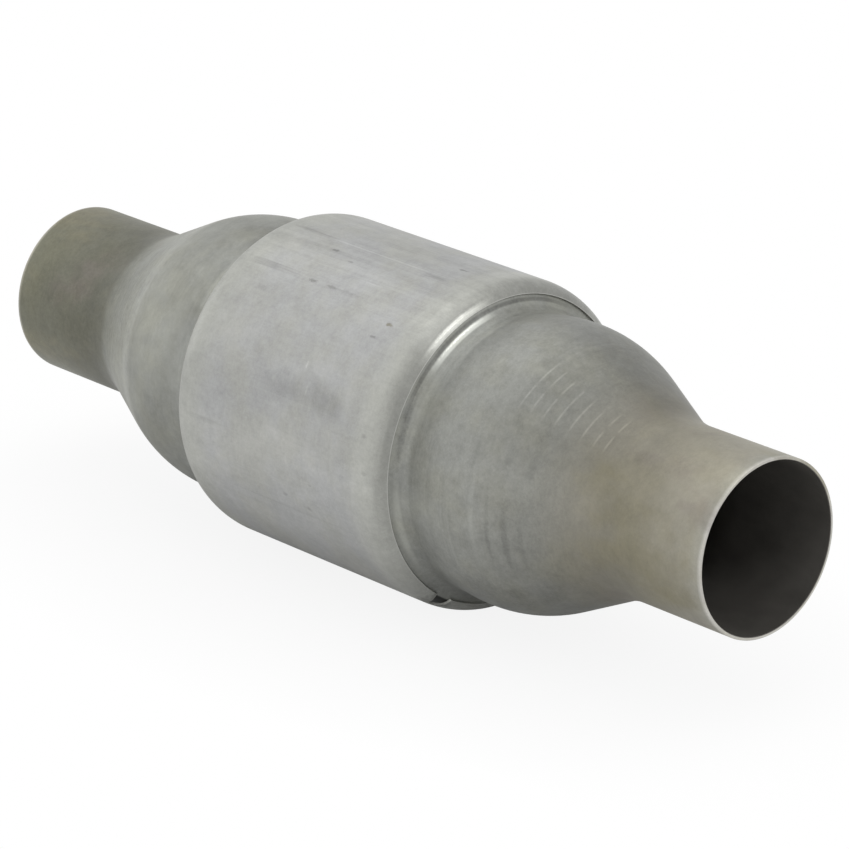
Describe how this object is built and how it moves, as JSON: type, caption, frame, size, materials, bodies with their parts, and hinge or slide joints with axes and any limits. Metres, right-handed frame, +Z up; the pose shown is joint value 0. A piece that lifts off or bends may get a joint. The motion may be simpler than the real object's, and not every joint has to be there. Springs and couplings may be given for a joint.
{
  "type": "catalytic converter",
  "caption": "Round exhaust catalytic converter: a spun steel can with a sheet jacket and two straight pipe necks, and a honeycomb brick inside.",
  "frame": {"origin": "centre of the honeycomb brick, on the common axis of both necks, halfway between their edges", "axes": "+X along the axis from the inlet neck to the outlet neck, +Z up as the picture shows it"},
  "size_m": [0.381, 0.127, 0.127],
  "materials": {
    "can_steel": "spun, dull grey-green with olive heat tint on the necks",
    "jacket_steel": "satin light grey with drawing lines and scuffs",
    "coated_ceramic": "matte brown coated honeycomb",
    "fibre_mat": "matte felted fibre",
    "knitted_wire": "knitted wire pressed flat"
  },
  "bodies": {
    "root": {"spun_can": "can_steel", "outer_jacket": "jacket_steel", "substrate_brick": "coated_ceramic", "support_mat": "fibre_mat", "inlet_wire_seal": "knitted_wire", "outlet_wire_seal": "knitted_wire"}
  },
  "joints": []
}
